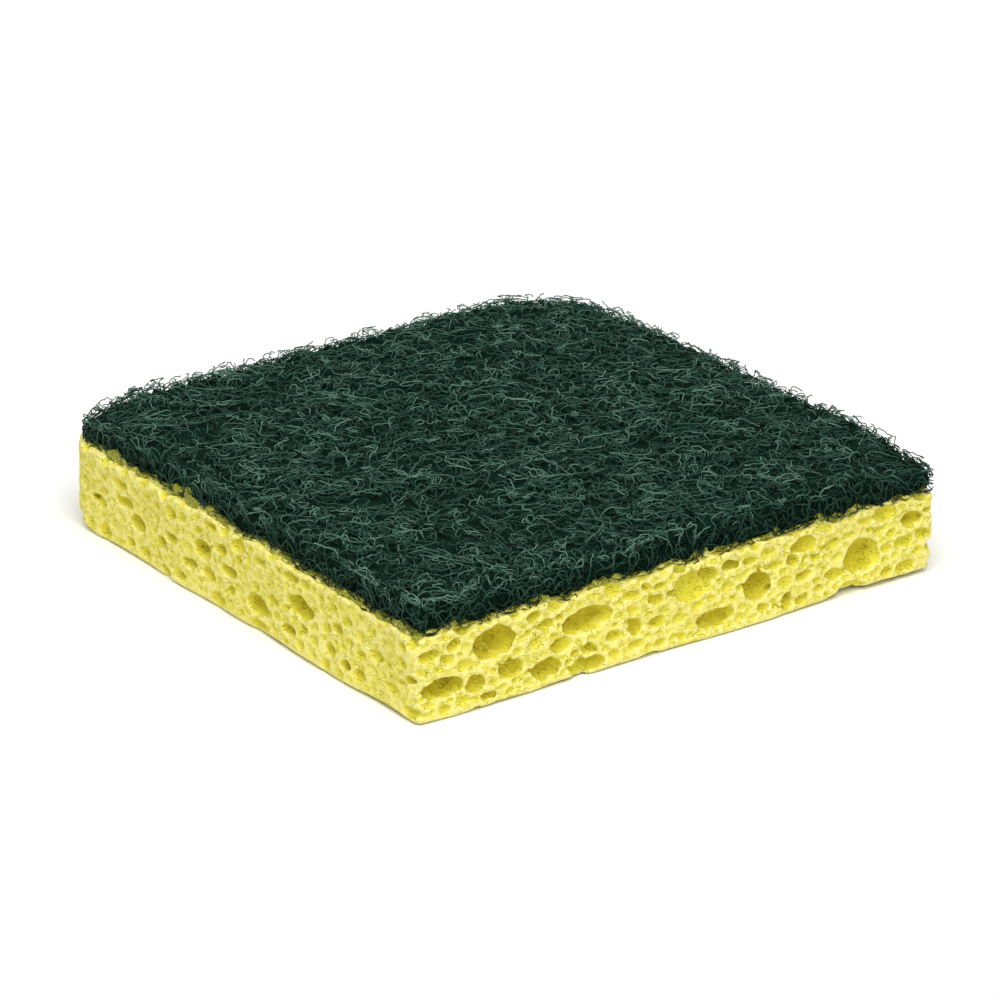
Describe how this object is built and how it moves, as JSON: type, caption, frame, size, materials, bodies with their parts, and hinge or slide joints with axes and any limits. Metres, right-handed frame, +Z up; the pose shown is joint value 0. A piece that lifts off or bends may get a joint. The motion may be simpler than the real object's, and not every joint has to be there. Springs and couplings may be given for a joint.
{
  "type": "cleaning sponge",
  "caption": "Square scrub sponge: a yellow cellulose block with open cells and a dark green non-woven scouring pad bonded on top; rounded far corners, one raw cut face.",
  "frame": {"origin": "centre of the base, where the block rests", "axes": "+X along the cut edge, +Y from the cut edge to the rounded corners, +Z up through the pad"},
  "size_m": [0.091, 0.091, 0.018],
  "materials": {
    "cellulose": "dry open-celled sponge",
    "glue": "dried film",
    "scouring_web": "non-woven curled fibre"
  },
  "bodies": {
    "root": {"sponge_block": "cellulose", "adhesive_layer": "glue", "scouring_pad": "scouring_web"}
  },
  "joints": []
}
